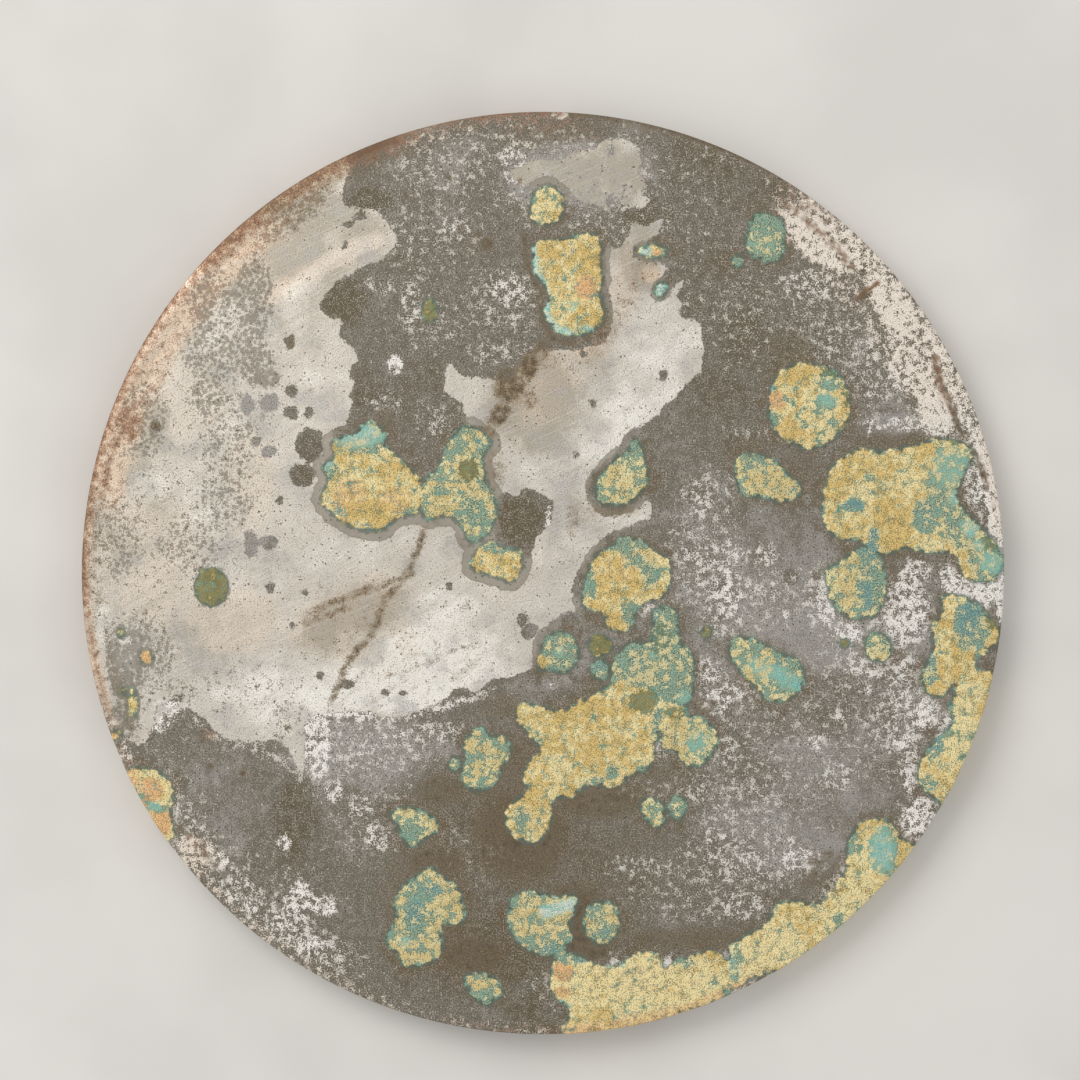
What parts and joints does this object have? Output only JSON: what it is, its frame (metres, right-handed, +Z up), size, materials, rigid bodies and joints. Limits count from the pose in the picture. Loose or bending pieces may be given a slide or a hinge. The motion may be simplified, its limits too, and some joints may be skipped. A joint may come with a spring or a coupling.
{
  "type": "bronze mirror",
  "caption": "Round cast bronze mirror with a plain, gently bulging, patinated face, a thick plain border and a pierced knob in the middle of its back.",
  "frame": {"origin": "middle of the plane that the border of the back rests on", "axes": "+Z up out of the reflecting face, +Y to the top of the picture, +X to its right and along the cord hole"},
  "size_m": [0.2, 0.2, 0.0119],
  "materials": {
    "patinated_bronze": "high-tin bronze, silvery where still polished, dulled grey-brown elsewhere, with raised yellow and blue-green corrosion"
  },
  "bodies": {
    "root": {"mirror_disc": "patinated_bronze"}
  },
  "joints": []
}
